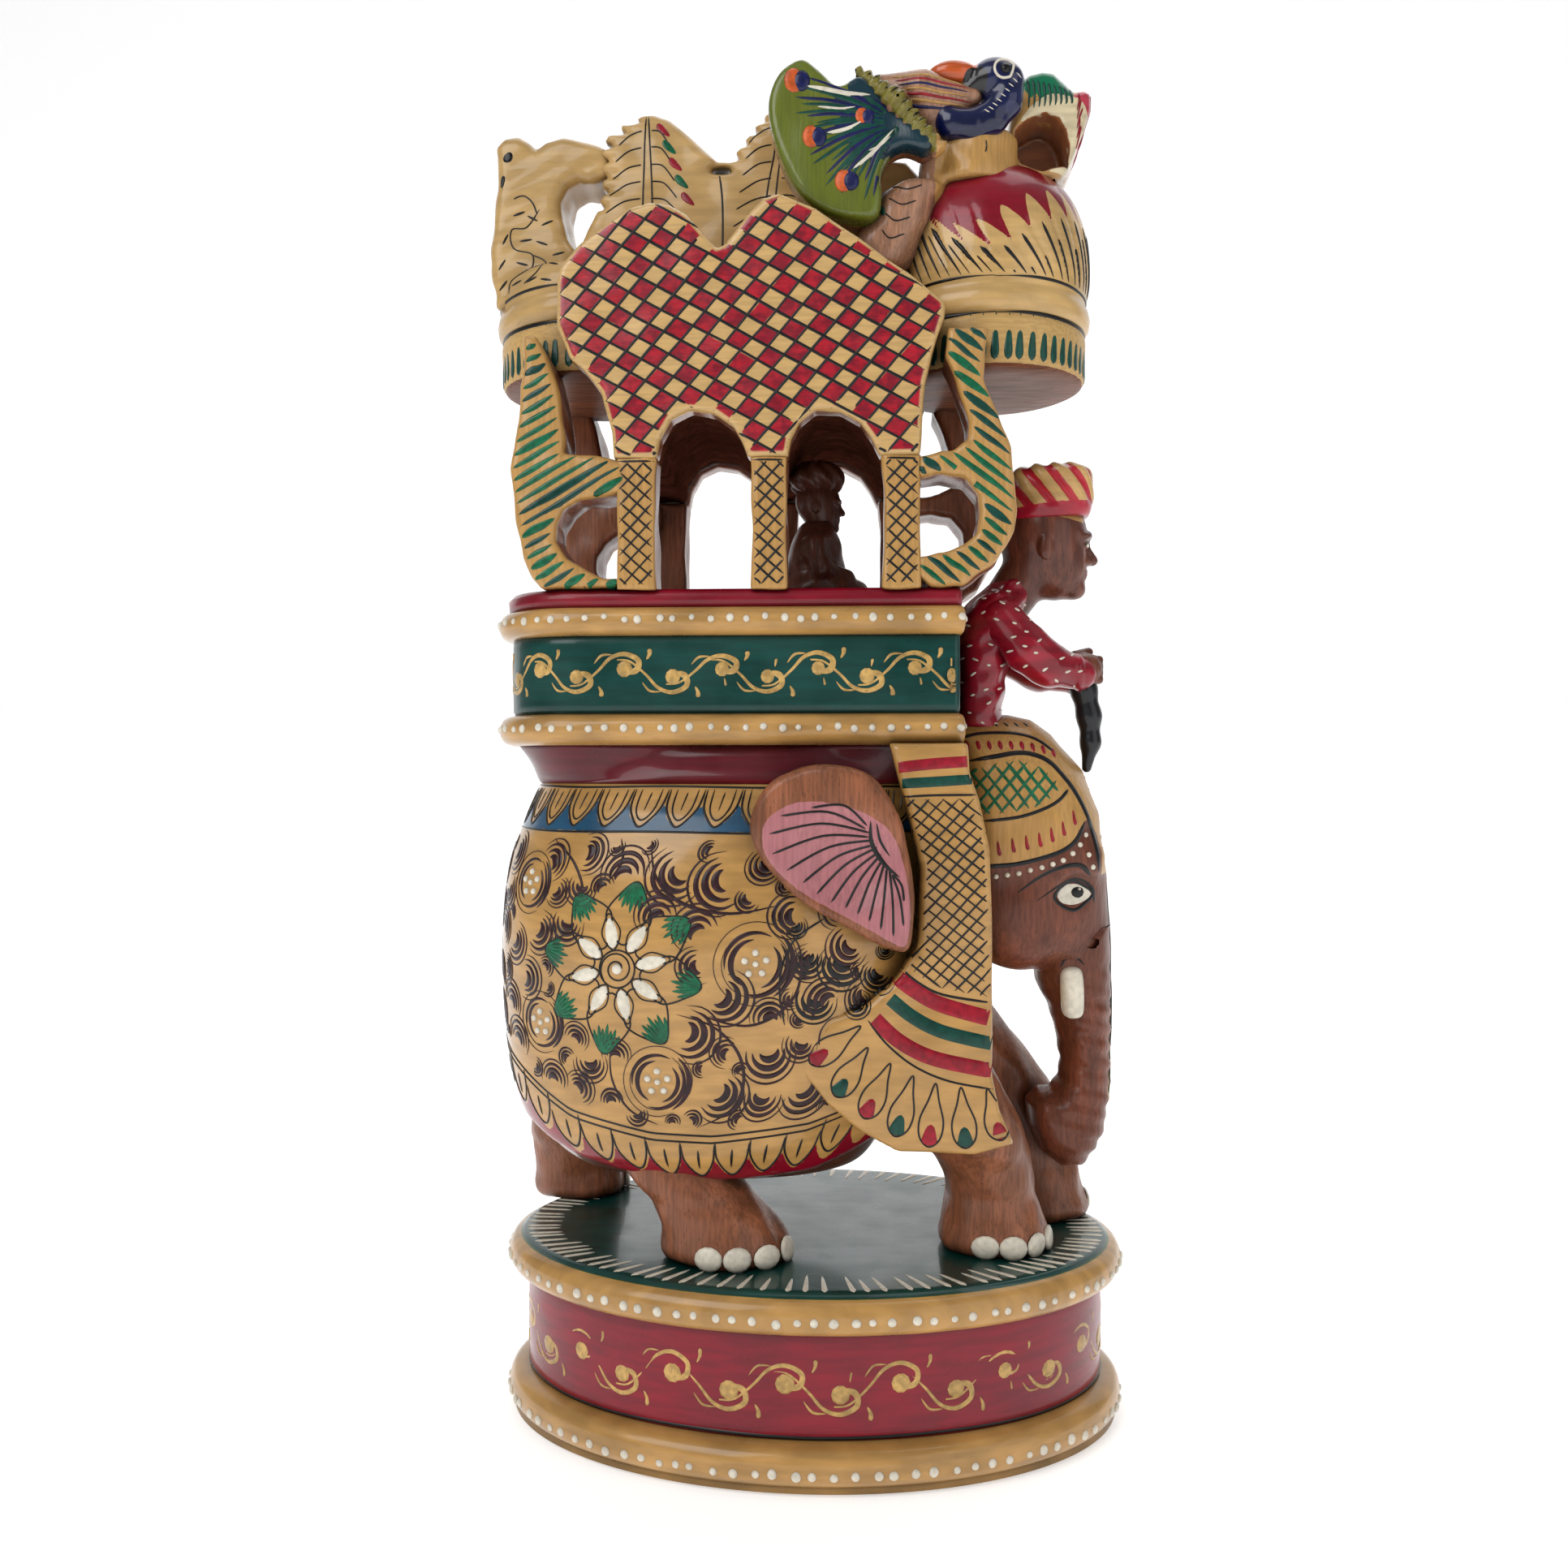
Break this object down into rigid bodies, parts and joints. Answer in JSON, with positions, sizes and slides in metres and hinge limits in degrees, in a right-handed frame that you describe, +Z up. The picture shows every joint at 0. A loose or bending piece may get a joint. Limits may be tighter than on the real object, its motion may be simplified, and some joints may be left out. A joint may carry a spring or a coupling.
{
  "type": "carved wooden elephant figurine",
  "caption": "Carved and painted wooden elephant walking on an oval base, with a domed howdah, a driver and birds.",
  "frame": {"origin": "centre of the oval base's underside", "axes": "+X the way the elephant faces, +Y to its left, +Z up"},
  "size_m": [0.1186, 0.075, 0.2504],
  "materials": {
    "gold_paint": "gold-tan paint under gloss varnish",
    "crimson_paint": "crimson paint under gloss varnish",
    "green_paint": "dark green paint under gloss varnish",
    "peacock_paint": "olive and blue paint under gloss varnish",
    "brown_wood": "bare brown wood, satin varnish",
    "white_paint": "white paint",
    "black_paint": "black paint"
  },
  "bodies": {
    "root": {"base_band": "crimson_paint", "base_foot_lip": "gold_paint", "base_top_board": "green_paint", "bracket_front_left": "gold_paint", "bracket_front_right": "gold_paint", "bracket_rear_left": "gold_paint", "bracket_rear_right": "gold_paint", "canopy_core": "brown_wood", "canopy_crest": "gold_paint", "canopy_panel_left": "crimson_paint", "canopy_panel_right": "crimson_paint", "dome_front": "gold_paint", "dome_rear": "gold_paint", "driver_arm_left": "crimson_paint", "driver_arm_right": "crimson_paint", "driver_hand_left": "brown_wood", "driver_hand_right": "brown_wood", "driver_head": "brown_wood", "driver_torso": "crimson_paint", "driver_turban": "crimson_paint", "drum_front": "gold_paint", "drum_rear": "gold_paint", "ear_left": "brown_wood", "ear_right": "brown_wood", "front_bird": "gold_paint", "goad": "black_paint", "head": "brown_wood", "howdah_floor": "crimson_paint", "leg_front_left": "brown_wood", "leg_front_right": "brown_wood", "leg_rear_left": "brown_wood", "leg_rear_right": "brown_wood", "neck_cove": "crimson_paint", "peacock_body": "peacock_paint", "peacock_head": "peacock_paint", "peacock_tail": "peacock_paint", "pillar_front_left": "gold_paint", "pillar_front_right": "gold_paint", "pillar_middle_left": "gold_paint", "pillar_middle_right": "gold_paint", "pillar_rear_left": "gold_paint", "pillar_rear_right": "gold_paint", "platform_band": "green_paint", "platform_lower_lip": "gold_paint", "platform_upper_lip": "gold_paint", "rear_bird": "gold_paint", "rider_body": "brown_wood", "rider_head": "brown_wood", "rider_turban": "brown_wood", "shoulder_cloth": "gold_paint", "tail": "brown_wood", "torso": "gold_paint", "trunk": "brown_wood", "tusk_left": "white_paint", "tusk_right": "white_paint"}
  },
  "joints": []
}
